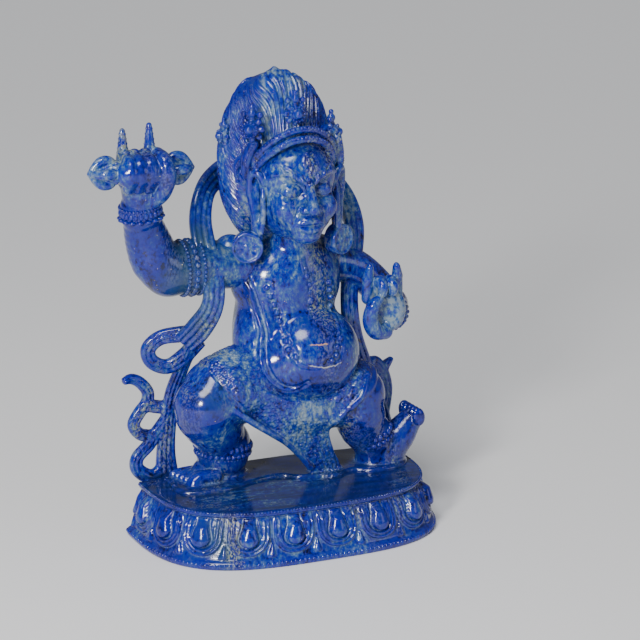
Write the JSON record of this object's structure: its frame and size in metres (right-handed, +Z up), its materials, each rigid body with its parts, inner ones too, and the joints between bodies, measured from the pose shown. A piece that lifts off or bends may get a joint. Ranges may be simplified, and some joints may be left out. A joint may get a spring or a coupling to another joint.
{
  "type": "carved stone figure",
  "caption": "Carved stone statue of a stocky guardian figure lunging on a lotus base, one arm raised with a short sceptre, tall swept hair, long looping scarf.",
  "frame": {"origin": "centre of the lotus base's underside", "axes": "+Z up, the figure faces -Y, +X towards the side of the lowered open hand"},
  "size_m": [0.2283, 0.1171, 0.2993],
  "materials": {
    "lapis": "polished lapis lazuli, deep blue mottled with grey-blue, with pale calcite veins and fine pyrite"
  },
  "bodies": {
    "root": {"statue": "lapis"}
  },
  "joints": []
}
